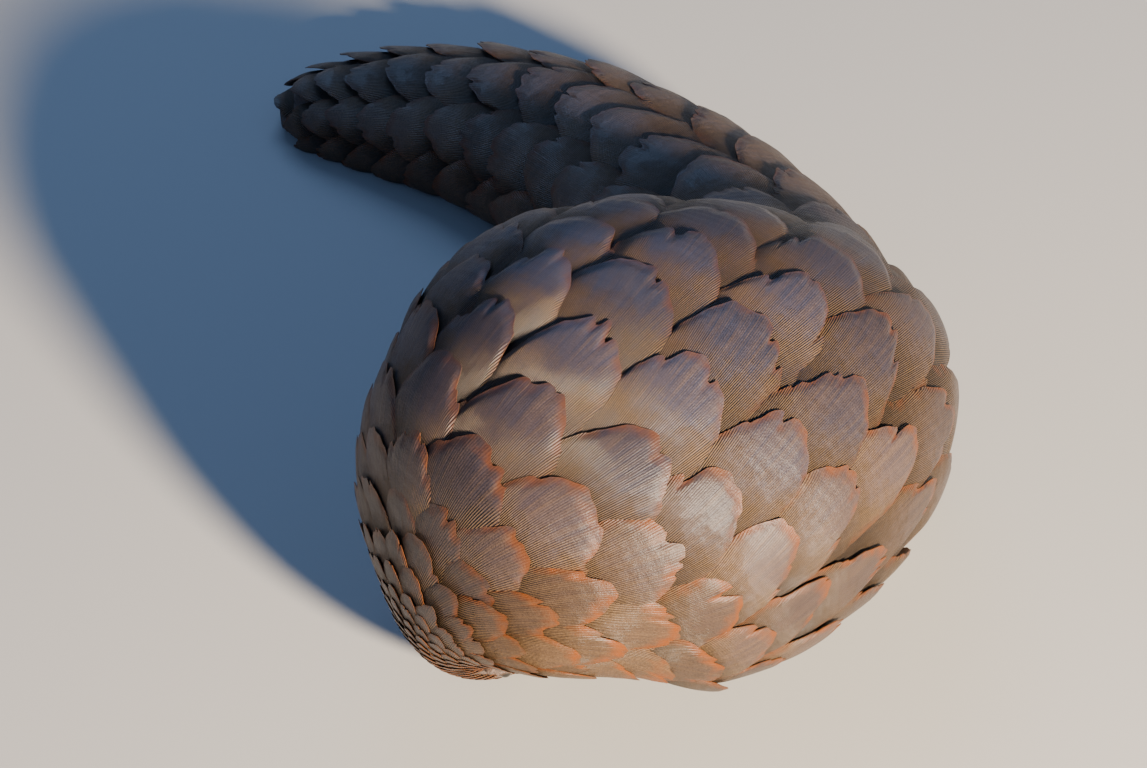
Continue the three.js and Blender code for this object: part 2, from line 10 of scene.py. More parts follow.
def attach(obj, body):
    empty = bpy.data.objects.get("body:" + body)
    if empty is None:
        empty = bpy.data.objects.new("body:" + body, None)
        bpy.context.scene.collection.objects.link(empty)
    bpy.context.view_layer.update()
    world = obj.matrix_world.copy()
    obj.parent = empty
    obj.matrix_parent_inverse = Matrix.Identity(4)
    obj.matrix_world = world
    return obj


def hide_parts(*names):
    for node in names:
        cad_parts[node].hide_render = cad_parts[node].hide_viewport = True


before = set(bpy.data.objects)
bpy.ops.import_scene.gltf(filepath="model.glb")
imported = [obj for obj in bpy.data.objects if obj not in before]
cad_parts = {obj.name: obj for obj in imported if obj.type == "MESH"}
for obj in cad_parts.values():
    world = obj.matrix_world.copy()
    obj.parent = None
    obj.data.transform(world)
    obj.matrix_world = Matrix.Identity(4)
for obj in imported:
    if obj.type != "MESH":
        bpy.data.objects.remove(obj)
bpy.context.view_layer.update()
metre = 0.001  # shapes are worked out in millimetres and written in metres
tau = 2 * math.pi

# The body's line, from the nose (0) to the tip of the tail (816)
bodyLine = {
    "backPlace": (19.6, -141.5, 118),  # the middle of the back
    "backStation": 235,
    "length": 816,
    "pitch": [(0, 166), (42, 142), (85, 97), (116, 56), (150, 24), (190, 6), (235, -9), (300, -21),
              (345, -23), (385, -20), (430, -14), (500, -7), (816, -6)],
    "heading": [(0, 32), (116, 33), (235, 46), (300, 62), (385, 84), (430, 97), (500, 116),
                (600, 132), (690, 154), (816, 182)],
    "halfWidth": [(0, 3.4), (3.5, 6.2), (18, 10.5), (42, 18.5), (66, 26), (85, 41), (116, 90.5),
                  (150, 107), (190, 129), (235, 138), (300, 132), (345, 117), (385, 99), (430, 84),
                  (500, 73), (600, 65), (690, 54), (760, 41), (798, 27), (816, 12)],
    "height": [(0, 3.2), (3.5, 5.8), (18, 9.5), (42, 17), (66, 24), (85, 31), (116, 43), (150, 79),
               (190, 96), (235, 103), (300, 100), (345, 88), (385, 72), (430, 58), (500, 46),
               (600, 38), (690, 31), (760, 23), (798, 16), (816, 8)],
    "depth": [(0, 3.2), (3.5, 5.6), (18, 9), (42, 14), (85, 33), (116, 72), (150, 88), (190, 98),
              (235, 96), (300, 84), (345, 64), (385, 54), (430, 45), (500, 39), (600, 34), (690, 28),
              (760, 21), (798, 14), (816, 6)],
    "roundAbove": 2.1,  # 2 is an ellipse, and more is squarer
    "roundBelow": 3.0,
    "runOn": 20,  # the line runs on past the tip for the last scales
}


def profile(knots):
    # runs smoothly through its knots and never overshoots them
    x = np.array([k[0] for k in knots], float)
    y = np.array([k[1] for k in knots], float)
    rise = np.diff(y) / np.diff(x)
    slope = np.zeros(len(x))
    slope[0], slope[-1] = rise[0], rise[-1]
    for i in range(1, len(x) - 1):
        if rise[i - 1] * rise[i] > 0:
            before, after = x[i] - x[i - 1], x[i + 1] - x[i]
            slope[i] = 3 * (before + after) / (
                (2 * after + before) / rise[i - 1] + (after + 2 * before) / rise[i])

    def at(where):
        v = np.clip(where, x[0], x[-1])
        i = np.clip(np.searchsorted(x, v, side="right") - 1, 0, len(x) - 2)
        run = x[i + 1] - x[i]
        t = (v - x[i]) / run
        return (y[i] * (1 + 2 * t) * (1 - t) ** 2 + slope[i] * run * t * (1 - t) ** 2
                + y[i + 1] * t * t * (3 - 2 * t) + slope[i + 1] * run * t * t * (t - 1))
    return at


def ease(v, low=0.0, high=1.0):
    t = np.clip((np.asarray(v, float) - low) / (high - low), 0, 1)
    return t * t * (3 - 2 * t)


pitchAt = profile(bodyLine["pitch"])
headingAt = profile(bodyLine["heading"])
halfWidthAt = profile(bodyLine["halfWidth"])
heightAt = profile(bodyLine["height"])
depthAt = profile(bodyLine["depth"])


def lineAxes(s):
    climb, turn = np.radians(pitchAt(s)), np.radians(headingAt(s))
    flat = np.cos(climb)
    along = np.stack([flat * np.cos(turn), flat * np.sin(turn), np.sin(climb)], -1)
    left = np.stack([np.sin(turn), -np.cos(turn), 0 * turn], -1)
    over = np.stack([-np.sin(climb) * np.cos(turn), -np.sin(climb) * np.sin(turn), flat], -1)
    return along, left, over


lineReach = bodyLine["length"] + bodyLine["runOn"]
lineStations = np.arange(lineReach + 1)
spine = np.vstack([np.zeros(3), np.cumsum(lineAxes(lineStations[:-1] + 0.5)[0], axis=0)])
spine += np.array(bodyLine["backPlace"]) - spine[bodyLine["backStation"]]


def spineAt(s):
    return np.stack([np.interp(s, lineStations, spine[:, k]) for k in range(3)], -1)


def sectionRadius(wide, tall, power, angle):
    across, up = np.abs(np.sin(angle)) / wide, np.abs(np.cos(angle)) / tall
    return (across ** power + up ** power) ** (-1 / power)


def bodyPoint(s, angle, lift=0.0):
    # angle is 0 on the ridge of the back and positive on the animal's left
    s, angle, lift = np.broadcast_arrays(np.asarray(s, float), angle, lift)
    above = np.cos(angle) >= 0
    r = sectionRadius(halfWidthAt(s), np.where(above, heightAt(s), depthAt(s)),
                      np.where(above, bodyLine["roundAbove"], bodyLine["roundBelow"]), angle) + lift
    _, left, over = lineAxes(s)
    return spineAt(s) + left * (r * np.sin(angle))[..., None] + over * (r * np.cos(angle))[..., None]


# Blender helpers
def newObject(name, points, faces, smooth=True, sharp=None):
    mesh = bpy.data.meshes.new(name)
    mesh.from_pydata((np.asarray(points).reshape(-1, 3) * metre).tolist(), [], [list(f) for f in faces])
    mesh.validate()
    if smooth:
        mesh.shade_smooth()
    if sharp:
        mesh.set_sharp_from_angle(angle=math.radians(sharp))
    piece = bpy.data.objects.new(name, mesh)
    bpy.context.scene.collection.objects.link(piece)
    return piece


def applyModifiers(piece):
    bpy.context.view_layer.update()
    graph = bpy.context.evaluated_depsgraph_get()
    mesh = bpy.data.meshes.new_from_object(piece.evaluated_get(graph))
    piece.modifiers.clear()
    piece.data = mesh


def tubeFaces(rings, sides):
    i, j = np.meshgrid(np.arange(rings - 1), np.arange(sides), indexing="ij")
    a, b = i * sides + j, i * sides + (j + 1) % sides
    faces = np.stack([a, b, b + sides, a + sides], -1).reshape(-1, 4).tolist()
    faces.append(list(range(sides))[::-1])
    faces.append(list(range((rings - 1) * sides, rings * sides)))
    return faces


def outwards(piece):
    # faces all turned to face out
    work = bmesh.new()
    work.from_mesh(piece.data)
    bmesh.ops.recalc_face_normals(work, faces=work.faces)
    work.to_mesh(piece.data)
    work.free()


# Legs are bent tapering forms from inside the body down to flat soles. Each place on a leg's line is a
# distance ahead, one outwards and a height.
foreleg = {
    "station": 178,
    "aside": 38,
    "line": [(-82, 4, 84), (-88, 4, 56), (-79, 2, 31), (-62, -2, 17), (-45, -5, 12)],
    "halfWidth": [28, 26, 20, 19, 16],
    "halfHeight": [32, 28, 21, 18, 12.5],
    "toes": [-13.5, -7.5, 0, 7.5, 13.5],
    "toeSizes": [2.4, 4, 4.8, 4, 2.4],
    "clawLengths": [9, 27, 36, 27, 9],
    "clawCurl": 62,
}
hindleg = {
    "station": 338,
    "aside": 80,
    "line": [(-8, -8, 70), (4, -2, 46), (-8, 0, 26), (12, 0, 16), (36, 0, 12)],
    "halfWidth": [36, 34, 28, 25, 20],
    "halfHeight": [36, 34, 24, 17.5, 12.5],
    "toes": [-15.5, -8, 0, 8, 15.5],
    "toeSizes": [3.4, 4.2, 4.6, 4.2, 3.4],
    "clawLengths": [9, 13, 15, 13, 9],
    "clawCurl": 38,
}


def curveThrough(points):
    # a smooth curve through points, its speed set by the square root of their spacing
    p = np.asarray(points, float)
    p = np.vstack([2 * p[0] - p[1], p, 2 * p[-1] - p[-2]])
    gaps = np.sqrt(np.linalg.norm(np.diff(p, axis=0), axis=1))

    def at(t):
        t = np.clip(np.asarray(t, float), 0, 1) * (len(p) - 3)
        i = np.minimum(t.astype(int), len(p) - 4)
        w = (t - i)[..., None]
        g0, g1, g2 = (gaps[i + k][..., None] for k in range(3))
        p0, p1, p2, p3 = (p[i + k] for k in range(4))
        m1 = ((p1 - p0) / g0 - (p2 - p0) / (g0 + g1) + (p2 - p1) / g1) * g1
        m2 = ((p2 - p1) / g1 - (p3 - p1) / (g1 + g2) + (p3 - p2) / g2) * g1
        return (p1 + m1 * w + (3 * (p2 - p1) - 2 * m1 - m2) * w ** 2
                + (2 * (p1 - p2) + m1 + m2) * w ** 3)
    return at


def unit(v):
    return v / np.linalg.norm(v, axis=-1, keepdims=True)


legForm = {
    "round": 2.3,
    "rings": 56,
    "sides": 64,
    "creases": 95,
    "creaseDeep": 0.35,
    "toeTurn": 1.1,  # degrees of spread for each millimetre a toe stands aside
    "toeAhead": 6,
    "toeSpacing": 0.9,
    "toeCurve": 0.55,  # how far the outer toes are set back
    "toeBack": 9,  # from a toe's root to its set place
    "toeThick": ([0, 0.6, 0.85, 1], [1.5, 1.42, 1.25, 1.0]),  # along the toe, of its size
}


class LegShape:
    def __init__(self, leg, side):
        along, left, _ = lineAxes(np.array(float(leg["station"])))
        self.leg = leg
        self.foot = spineAt(leg["station"]) + left * side * leg["aside"]
        self.foot[2] = 0
        self.ahead = unit(np.array([-along[0], -along[1], 0]))
        self.aside = left * side
        self.curve = curveThrough([self.place(*p) for p in leg["line"]])
        share = np.linspace(0, 1, len(leg["line"]))
        self.wide = profile(list(zip(share, leg["halfWidth"])))
        self.tall = profile(list(zip(share, leg["halfHeight"])))

    def place(self, ahead, aside, up):
        spot = self.foot + self.ahead * ahead + self.aside * aside
        spot[2] = up
        return spot

    def point(self, t, angle, lift=0.0):
        # angle is 0 in front and above, and 90 degrees on the outer side
        t, angle, lift = np.broadcast_arrays(np.asarray(t, float), angle, lift)
        centre = self.curve(t)
        along = unit(self.curve(np.minimum(t + 0.01, 1)) - self.curve(np.maximum(t - 0.01, 0)))
        over = unit(np.cross(np.broadcast_to(self.aside, along.shape), along))
        r = sectionRadius(self.wide(t), self.tall(t), legForm["round"], angle) + lift
        return (centre + self.aside * (r * np.sin(angle))[..., None]
                + over * (r * np.cos(angle))[..., None])

    def toePlaces(self):
        tip = self.leg["line"][-1]
        form = legForm
        places = []
        for offset, size in zip(self.leg["toes"], self.leg["toeSizes"]):
            spread = math.radians(offset * form["toeTurn"])
            along = self.ahead * math.cos(spread) + self.aside * math.sin(spread)
            setBack = form["toeAhead"] - abs(offset) * form["toeCurve"]
            root = self.place(tip[0] + setBack - form["toeBack"], tip[1] + offset * form["toeSpacing"],
                              size * 1.15 + 4.5)
            across = np.array([-along[1], along[0], 0])
            places.append({"size": size, "along": along, "across": across, "root": root,
                           "end": root + along * (form["toeBack"] + size * 0.6)})
        return places


legShapes = {
    ("foreleg", "left"): LegShape(foreleg, 1),
    ("foreleg", "right"): LegShape(foreleg, -1),
    ("hindleg", "left"): LegShape(hindleg, 1),
    ("hindleg", "right"): LegShape(hindleg, -1),
}

# The face: stations are distances back from the nose, and angles go round the head from the ridge
face = {
    "eye": {"station": 43, "angle": 66, "radius": 4.6, "sunk": 2.4},
    "lidOpen": (4.6, 2.9),  # half length and half height of the opening
    "lidSlant": 0.12,
    "lidFolds": [(1.1, 1.35, 0.3), (0.45, 2.1, 0.22), (-0.35, 1.75, 0.14)],  # height, place, width
    "socketDeep": 4.2,
    "ear": {"station": 70, "angle": 92, "tall": 9.5, "long": 5.2},
    "earCup": [(0.92, -3.5), (1.0, -1), (1.04, 1.2), (1.02, 3.2), (0.94, 4.7), (0.82, 5.1), (0.72, 4.4),
               (0.64, 3.0), (0.55, 1.4), (0.4, 0.3), (0.2, -0.1)],  # share of its size, and height
    "earSides": 36,
    "nostril": {"station": 2.6, "angle": 58, "size": 1.5, "deep": 2.0},
    "mouth": [(3.4, 152), (7, 128), (15, 117), (25, 112)],
    "lipRaise": 0.5,
    "mouthDeep": 0.9,
    "scaleBed": 0.8,  # the skin lies this much lower under the scales
}


def skinLift(s, angle):
    # folds and openings of the face, and the sunk skin under the scales
    lift = -face["scaleBed"] * ease(s, 60, 90) * ease(150 - np.degrees(np.abs(angle)), 0, 30)
    r = sectionRadius(halfWidthAt(s), heightAt(s), bodyLine["roundAbove"], angle)
    eye = face["eye"]
    x = s - eye["station"]
    y = (np.abs(angle) - math.radians(eye["angle"])) * r
    longer, taller = face["lidOpen"]
    ring = np.sqrt((x / longer) ** 2 + ((y + face["lidSlant"] * x) / taller) ** 2)
    for high, place, width in face["lidFolds"]:
        lift = lift + high * np.exp(-((ring - place) / width) ** 2)
    lift = lift - face["socketDeep"] * (1 - ease(ring, 0.86, 1.06))
    # mouth line, lips and nostrils
    mouthEnd = face["mouth"][-1][0]
    line = profile(face["mouth"])
    gapAngle = (np.degrees(np.abs(angle)) - line(s)) * math.pi / 180 * r
    off = np.hypot(gapAngle, np.maximum(s - mouthEnd, 0))
    lift = lift + face["lipRaise"] * np.exp(-((off - 1.5) / 0.9) ** 2) * (s < 40)
    lift = lift - face["mouthDeep"] * np.exp(-(off / 0.5) ** 2) * (s < 40)
    hole = face["nostril"]
    away = np.hypot(s - hole["station"], (np.abs(angle) - math.radians(hole["angle"])) * r * 0.8)
    lift = lift - hole["deep"] * (1 - ease(away, 0.4, hole["size"]))
    return lift + 0.35 * np.exp(-((away - hole["size"] * 1.5) / 0.6) ** 2)


skinForm = {
    "sides": 208,
    "runs": [(0, 8, 14), (8, 85, 112), (85, 150, 34), (150, 780, 150), (780, 816, 16)],  # from, to, rings
    "near": 0.012,  # metres from a limb's root, where its crease is looked for
    "crease": (0.002, 0.009),  # metres, fully smoothed to not at all
    "smoothing": 0.6,
    "rounds": 14,
}


def bodyLoft():
    sides = skinForm["sides"]
    stations = np.concatenate([np.linspace(*run)[:-1] for run in skinForm["runs"]]
                              + [[float(bodyLine["length"])]])
    angles = np.linspace(0, tau, sides, endpoint=False)
    angles = np.where(angles > math.pi, angles - tau, angles)
    s, a = np.meshgrid(stations, angles, indexing="ij")
    points = bodyPoint(s, a, skinLift(s, a))
    piece = newObject("skin", points, tubeFaces(len(stations), sides))
    outwards(piece)
    return piece


def legLoft(shape):
    rings, sides = legForm["rings"], legForm["sides"]
    around = np.linspace(0, tau, sides, endpoint=False)
    t, a = np.meshgrid(np.linspace(0, 1, rings), around, indexing="ij")
    ripple = np.sin(t * legForm["creases"] + 1.3 * np.sin(a * 2))
    crease = legForm["creaseDeep"] * ripple * ease(t, 0.5, 0.75)
    body = newObject("legPart", shape.point(t, a, crease), tubeFaces(rings, sides))
    outwards(body)
    parts = [body]
    around = np.linspace(0, tau, 20, endpoint=False)
    for toe in shape.toePlaces():
        rows = []
        over = unit(np.cross(toe["across"], toe["along"]))
        for share in np.linspace(0, 1, 12):
            thick = np.interp(share, *legForm["toeThick"])
            centre = toe["root"] + (toe["end"] - toe["root"]) * share
            rows.append(centre + np.outer(np.sin(around), toe["across"]) * toe["size"] * thick
                        + np.outer(np.cos(around), over) * toe["size"] * thick * 0.95)
        part = newObject("toePart", np.array(rows), tubeFaces(len(rows), len(around)))
        outwards(part)
        parts.append(part)
    return parts


def faceAxes(station, angle):
    # out of the skin, and back along it
    out = unit(bodyPoint(station, angle, 1) - bodyPoint(station, angle, 0))
    back = unit(bodyPoint(station + 1, angle) - bodyPoint(station - 1, angle))
    return out, back


def earLoft(side):
    ear = face["ear"]
    angle = side * math.radians(ear["angle"])
    out, back = faceAxes(ear["station"], angle)
    around = unit(np.cross(out, back))
    rows = []
    turn = np.linspace(0, tau, face["earSides"], endpoint=False)
    for reach, high in face["earCup"]:
        front = 1 - 0.35 * np.maximum(0, -np.cos(turn)) * (high > 1)  # the cup stands lower in front
        rows.append(bodyPoint(ear["station"], angle, -0.4)
                    + np.outer(reach * np.cos(turn), back) * ear["long"]
                    + np.outer(reach * np.sin(turn), around) * ear["tall"]
                    + np.outer(high * front, out))
    piece = newObject("earPart", np.array(rows), tubeFaces(len(rows), len(turn)))
    outwards(piece)
    return piece


def makeSkin():
    skin = bodyLoft()
    bodyTree = BVHTree.FromObject(skin, bpy.context.evaluated_depsgraph_get())
    parts = []
    for shape in legShapes.values():
        parts += legLoft(shape)
    parts += [earLoft(1), earLoft(-1)]
    limbs = bpy.data.collections.new("limbs")
    bpy.context.scene.collection.children.link(limbs)
    for part in parts:
        bpy.context.scene.collection.objects.unlink(part)
        limbs.objects.link(part)
    union = skin.modifiers.new("union", "BOOLEAN")
    union.operation = "UNION"
    union.operand_type = "COLLECTION"
    union.collection = limbs
    union.solver = "MANIFOLD"
    bpy.context.view_layer.update()
    graph = bpy.context.evaluated_depsgraph_get()
    limbTrees = [BVHTree.FromObject(part, graph) for part in parts]
    applyModifiers(skin)
    for part in parts:
        bpy.data.objects.remove(part)
    bpy.data.collections.remove(limbs)
    # the crease where a limb leaves the body is smoothed away
    group = skin.vertex_groups.new(name="crease")
    reach = skinForm["near"]
    for v in skin.data.vertices:
        fromLimbs = sorted(tree.find_nearest(v.co, reach)[3] or 1 for tree in limbTrees)
        fromBody = bodyTree.find_nearest(v.co, reach)[3]
        near = [d for d in fromLimbs[:2] + [1 if fromBody is None else fromBody] if d < reach]
        if len(near) > 1:
            group.add([v.index], float(1 - ease(sorted(near)[1], *skinForm["crease"])), "REPLACE")
    smooth = skin.modifiers.new("smooth", "SMOOTH")
    smooth.factor = skinForm["smoothing"]
    smooth.iterations = skinForm["rounds"]
    smooth.vertex_group = "crease"
    applyModifiers(skin)
    skin.vertex_groups.clear()
    # it lies on the floor on flats
    co = np.zeros(len(skin.data.vertices) * 3, np.float32)
    skin.data.vertices.foreach_get("co", co)
    co[2::3] = np.maximum(co[2::3], 0.0)
    skin.data.vertices.foreach_set("co", co)
    skin.data.update()
    skin.data.shade_smooth()
    return skin


# Scales stand in rings along the body and columns round it, and every other place of a ring is left to
# the next. Each list gives a station and a value there.
scaleLattice = {
    "pitch": [(0, 7.5), (42, 8), (70, 8.5), (85, 9), (98, 10.5), (107, 15), (117, 23), (128, 33),
              (142, 44), (160, 53), (190, 57), (300, 58), (385, 57), (500, 54), (600, 47), (690, 39),
              (760, 30), (816, 15)],  # millimetres from column to column
    "shift": [(0, 0), (100, 6), (150, 20), (180, 21), (204, 13), (234, -2), (282, -8), (340, -4),
              (430, 0), (816, 0)],  # how far the columns drift round to the left
    "edge": [(0, 30), (28, 46), (42, 50), (62, 58), (70, 62), (85, 90), (116, 112), (150, 122),
             (300, 124), (345, 116), (385, 118), (430, 124), (500, 128), (690, 130), (760, 138),
             (816, 152)],  # degrees from the ridge to the last scale
    "firstTip": 24,
    "fixedTip": 204,  # the tips of one ring on the ridge lie here
    "ringStep": 0.385,  # from ring to ring, as a share of the pitch
    "columns": 17,  # on each side of the ridge
    "bodyColumns": 14,  # and behind this station no more than these
    "bodyFrom": 140,
    "narrowing": 0.035,  # columns close up down the flanks, where they are wide
    "fullNarrowing": 50,  # the pitch at which they close up in full
    "width": [(0, 1.26), (400, 1.26), (520, 1.3), (740, 1.36), (816, 1.4)],  # of the pitch
    "length": 1.52,  # of the pitch
    "showing": 2.0,  # a scale is this many times as long as what shows of it
    "lengths": (0.6, 1.45),  # least and most, of the set length
    "longest": 88,  # stations
    "lift": 3.3,  # millimetres that the tip stands up
    "tilts": (0.068, 0.2),
    "varies": 0.05,  # length and width, from scale to scale
    "yaw": 4,  # degrees either way
    "rounding": 1.85,
    "seed": 11,
}
scaleChances = {
    "round": 0.3,
    "cut": (0.6, 0.05),  # how much shorter a scale's sides are than its middle, and how that varies
    "lean": 0.16,
}
latticePitch = profile(scaleLattice["pitch"])
latticeShift = profile(scaleLattice["shift"])
latticeEdge = profile(scaleLattice["edge"])
latticeWidth = profile(scaleLattice["width"])

girthStep = 4.0
girthStations = np.arange(0, lineReach, girthStep)
girthAngles = np.radians(np.arange(0, 181, 3.0))
girthRows = bodyPoint(girthStations[:, None], girthAngles[None, :])
girthTable = np.concatenate([np.zeros((len(girthStations), 1)), np.cumsum(
    np.linalg.norm(np.diff(girthRows, axis=1), axis=-1), axis=1)], axis=1)


def angleAtGirth(s, girth):
    # the angle round the body that a length of girth reaches from the ridge
    row = np.clip(s / girthStep, 0, len(girthStations) - 1.001)
    low = int(row)
    table = girthTable[low] * (low + 1 - row) + girthTable[low + 1] * (row - low)
    return math.copysign(float(np.interp(abs(girth), table, girthAngles)), girth)


def stretchAt(s, angle):
    # millimetres along the body for each station
    return float(np.linalg.norm(bodyPoint(s + 0.5, angle, 3.0) - bodyPoint(s - 0.5, angle, 3.0)))


def chanceShape(luck, yaw, rounding):
    # what differs from scale to scale besides its size
    cut, cutVaries = scaleChances["cut"]
    return {"yaw": math.radians(yaw) * luck[2], "round": rounding + scaleChances["round"] * luck[3],
            "cut": cut + cutVaries * luck[4], "lean": scaleChances["lean"] * luck[5],
            "luck": luck[6], "luckTwo": luck[7]}


def turnAt(s, angle):
    # millimetres round the body for each radian
    return float(np.linalg.norm(bodyPoint(s, angle + 0.02) - bodyPoint(s, angle))) / 0.02


def narrowingAt(pitch):
    return min(1, pitch / scaleLattice["fullNarrowing"])


def columnAngle(s, j):
    # where column j, counted from the ridge, runs at station s
    pitch = float(latticePitch(s))
    closing = scaleLattice["narrowing"] * narrowingAt(pitch)
    column = min(abs(j), 0.5 / closing)
    column = math.copysign(column - closing * column ** 2, j)
    return angleAtGirth(s, pitch * column + float(latticeShift(s)))


def ringTips():
    lattice = scaleLattice
    rings = [lattice["fixedTip"]]

    def ridgeStep(s):
        return lattice["ringStep"] * float(latticePitch(s)) / stretchAt(s, 0.0)
    while rings[-1] < bodyLine["length"] + 2:
        rings.append(rings[-1] + ridgeStep(rings[-1]))
    while rings[0] > lattice["firstTip"]:
        rings.insert(0, rings[0] - ridgeStep(rings[0]))
    return rings


def bodyScalePlace(tip, j, gapHere, luck):
    # one scale by the station of its tip and its column, or None past the edge of the coat
    lattice = scaleLattice
    angle = columnAngle(tip, j)
    if abs(math.degrees(angle)) > latticeEdge(tip):
        return None
    if abs(j) > lattice["bodyColumns"] and tip > lattice["bodyFrom"]:
        return None
    pitch = float(latticePitch(tip))
    narrow = 1 - 2 * lattice["narrowing"] * narrowingAt(pitch) * abs(j)
    nominal = pitch * lattice["length"] * (0.5 + 0.5 * narrow)
    stretch = stretchAt(tip - 5, angle)
    turn = turnAt(tip, angle)
    slope = turn * (angle - columnAngle(tip - 4, j)) / 4  # how fast the column moves round the body
    reach = math.hypot(stretch, slope)
    shown = gapHere * reach
    least, most = lattice["lengths"]
    long = min(max(lattice["showing"] * shown, least * nominal), most * nominal * reach / stretch)
    long = long * (1 + lattice["varies"] * luck[0])
    root = max(tip - long / reach, tip - lattice["longest"])
    rootAngle = columnAngle(root, j)
    middle, between = (root + tip) / 2, (rootAngle + angle) / 2
    turn = turnAt(middle, between)
    stretch = stretchAt(middle, between)
    lie = math.atan2(turn * (angle - rootAngle), stretch * (tip - root))
    wide = pitch * float(latticeWidth(tip)) * narrow * (0.8 + 0.2 * math.cos(lie))
    wide = wide * (1 + lattice["varies"] * luck[1])
    return {
        "root": root, "tip": tip, "rootAngle": rootAngle, "tipAngle": angle, "long": long,
        "wide": wide, "turn": turn, "stretch": stretch, "lie": lie,
        "tilt": float(np.clip((lattice["lift"] + 0.6 * luck[7]) / max(shown, 1), *lattice["tilts"])),
        **chanceShape(luck, lattice["yaw"], lattice["rounding"]),
    }


def bodyScalePlaces():
    rings = ringTips()
    draw = np.random.RandomState(scaleLattice["seed"])
    columns = scaleLattice["columns"]
    fixed = min(range(len(rings)), key=lambda k: abs(rings[k] - scaleLattice["fixedTip"]))
    places = []
    for k, tip in enumerate(rings):
        gapHere = rings[min(k + 1, len(rings) - 1)] - rings[max(k - 1, 0)]
        for j in range(-columns, columns + 1):
            luck = draw.uniform(-1, 1, 8)
            if (j + k - fixed) % 2 == 0:
                places.append(bodyScalePlace(tip, j, gapHere, luck))
    return [place for place in places if place]


plateForm = {
    "sunk": 1.5,  # how deep the root lies under the skin
    "rootWidth": 0.92,
    "fullAt": 0.36,
    "thick": 0.026,  # of the width
    "leastThick": 0.5,
    "edgeThick": 0.5,
    "dome": 0.03,  # of the width
    "blunt": 0.05,  # how far the point is rounded off
    "unevenness": [(4.6, 0.015), (10.5, 0.01), (23, 0.006)],  # of the free edge
    "chips": 9,
    "chipWidth": (0.03, 0.12),  # least and most, of half the width
    "chipDeep": 0.085,  # of the length
    "edgeZone": 0.16,  # of the width, where it thins out
    "markZone": 0.32,  # of the width, where the rim may be coloured
    "sharp": 38,
    "patch": 0.003,  # each scale's size on the coat's map
}


def valuesOf(places, key):
    return np.array([p[key] for p in places], float)[:, None, None]


def plateOutline(places, draw, q):
    # how long each scale is along each of its columns, as a share of its length
    form = plateForm
    count = len(places)
    apex = valuesOf(places, "lean")  # the tip stands a little to one side
    off = np.hypot(np.abs(q - apex) / (1 + np.abs(apex)), form["blunt"]) - form["blunt"]
    edge = 1 - valuesOf(places, "cut") * off ** valuesOf(places, "round")
    wave = draw.uniform(0, tau, (count, 1, 1, 3))
    for k, (pace, swing) in enumerate(form["unevenness"]):
        edge = edge + swing * np.sin(q * pace + wave[..., k])
    for _ in range(form["chips"]):
        at = draw.uniform(-1, 1, (count, 1, 1))
        span = draw.uniform(*form["chipWidth"], (count, 1, 1))
        deep = draw.uniform(0, 1, (count, 1, 1)) ** 2.6 * form["chipDeep"]
        edge = edge - deep * np.clip(1.6 - 1.6 * np.abs(q - at) / span, 0, 1)
    return edge, wave


def plateFaces(rows, columns):
    # a top, an underside and the rim between them
    r, c = np.meshgrid(np.arange(rows), np.arange(columns), indexing="ij")
    wideRow = columns + 1
    a = (r * wideRow + c).ravel()
    upper = np.stack([a, a + 1, a + wideRow + 1, a + wideRow], -1)
    half = (rows + 1) * wideRow
    rimLine = np.concatenate([
        np.arange(wideRow), np.arange(1, rows + 1) * wideRow + columns,
        rows * wideRow + np.arange(columns - 1, -1, -1), np.arange(rows - 1, 0, -1) * wideRow])
    follow = np.roll(rimLine, -1)
    rim = np.stack([follow, rimLine, rimLine + half, follow + half], -1)
    return np.vstack([upper, upper[:, ::-1] + half, rim]), len(upper) // 2


def markPlates(mesh, places, q, fromEdge, share, grain):
    # where on its scale each point lies, for the finishes, and the coat's map
    def each(values):
        whole = np.stack([np.broadcast_to(v, fromEdge.shape) for v in values], -1)
        return np.stack([whole, whole], axis=1).reshape(-1, len(values))
    nearness = np.clip(fromEdge / (plateForm["markZone"] * valuesOf(places, "wide")), 0, 1)
    marks = nearness, share, (valuesOf(places, "luck") + 1) / 2
    # each scale's share of painted sunlight against painted shade, how far off its middle a point lies, and
    # the tail's tan
    tones = valuesOf(places, "paintedSunlit"), np.abs(q), valuesOf(places, "tail")
    for label, values in (("mark", marks), ("tone", tones)):
        mesh.attributes.new(label, "FLOAT_VECTOR", "POINT").data.foreach_set("vector", each(values).ravel())
    corner = np.zeros(len(mesh.loops), np.int32)
    mesh.loops.foreach_get("vertex_index", corner)
    rootMap = np.array([p["onMap"] for p in places]).T[..., None, None]
    onMap = [rootMap[0] + q * 0.5 * plateForm["patch"], rootMap[1] + (share - 0.5) * plateForm["patch"]]
    for label, values in (("OFBake", onMap), ("grain", grain)):
        mesh.uv_layers.new(name=label).data.foreach_set("uv", each(values)[corner].ravel())


